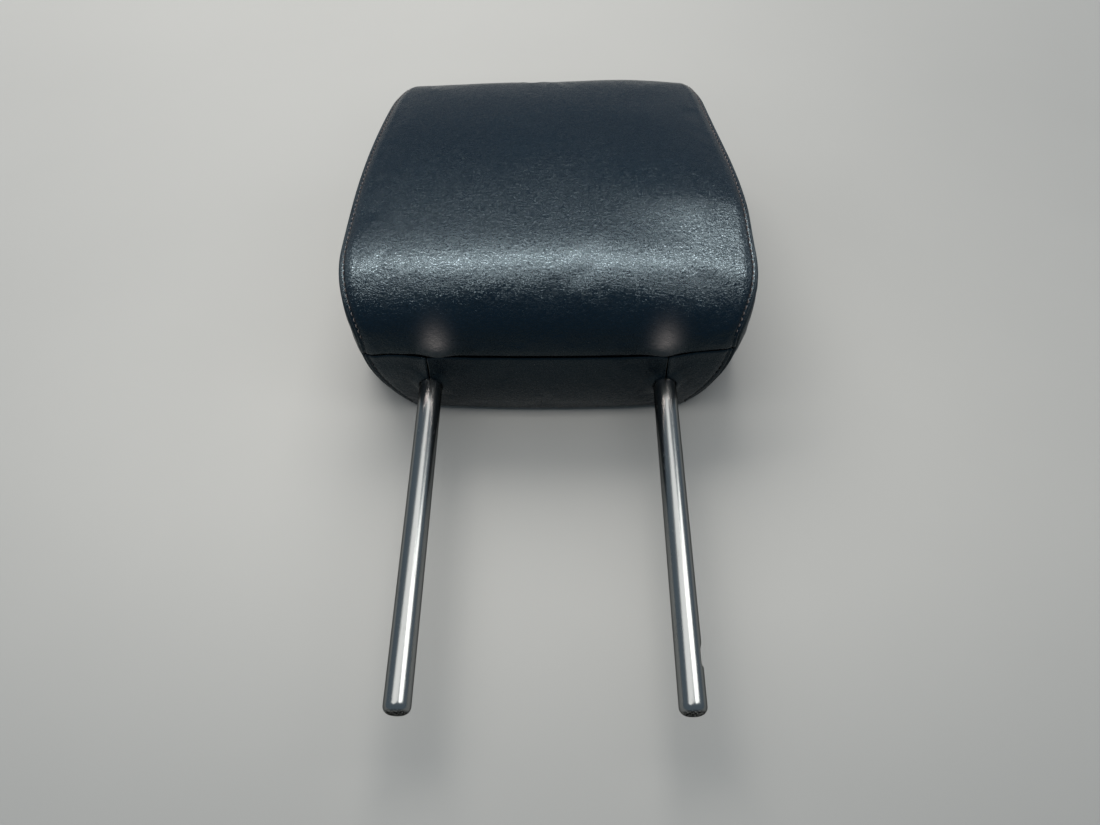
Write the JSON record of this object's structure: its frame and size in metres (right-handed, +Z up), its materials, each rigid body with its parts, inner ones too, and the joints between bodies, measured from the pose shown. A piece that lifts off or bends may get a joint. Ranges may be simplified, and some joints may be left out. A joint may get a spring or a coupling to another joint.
{
  "type": "car headrest",
  "caption": "Leather-covered car headrest with sewn side panels and a hooked bottom closure, on chromed steel posts with a height-lock notch.",
  "frame": {"origin": "on the surface that the headrest lies on, under the middle of its length and width", "axes": "+Z up out of the pad's front, the back at Z = 0; +Y from the post tips to the pad's top end; +X to the right, seen from the front with the posts towards the viewer"},
  "size_m": [0.2548, 0.455, 0.104],
  "materials": {
    "cover_leather": "satin",
    "side_leather": "satin",
    "closure_plastic": "satin",
    "foam": "matte",
    "post_chrome": "polished",
    "inner_steel": "matte"
  },
  "bodies": {
    "root": {"cover_centre_panel": "cover_leather", "cover_left_panel": "side_leather", "cover_right_panel": "side_leather", "closure_hook_left": "closure_plastic", "closure_hook_middle": "closure_plastic", "closure_hook_right": "closure_plastic", "closure_rail": "closure_plastic", "foam_core": "foam", "post_tube": "post_chrome", "support_plate": "inner_steel", "foam_wire": "inner_steel"}
  },
  "joints": []
}
